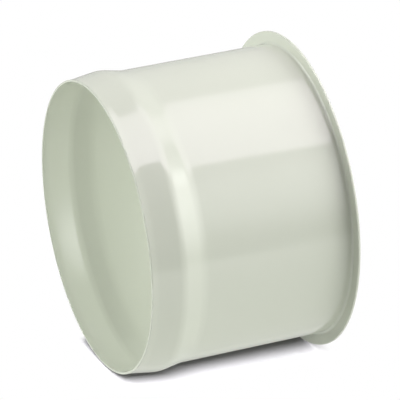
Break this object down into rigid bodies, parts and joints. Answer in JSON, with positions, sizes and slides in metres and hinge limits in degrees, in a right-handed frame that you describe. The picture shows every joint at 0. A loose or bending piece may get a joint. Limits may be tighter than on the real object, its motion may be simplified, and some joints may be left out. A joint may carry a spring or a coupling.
{
  "type": "hose connection spigot",
  "caption": "Short round sheet-steel duct spigot with a flat turned-out lip at one end and a raised hose bead near its open mouth at the other.",
  "frame": {"origin": "centre of the lip's back face, on the tube's axis, where the spigot stands on its lip", "axes": "+Z along the tube's axis from the lip to the mouth for the hose; X and Y are any two directions across it, because the part is round"},
  "size_m": [0.152, 0.152, 0.101],
  "materials": {
    "painted_sheet_steel": "gloss"
  },
  "bodies": {
    "root": {"spigot": "painted_sheet_steel"}
  },
  "joints": []
}
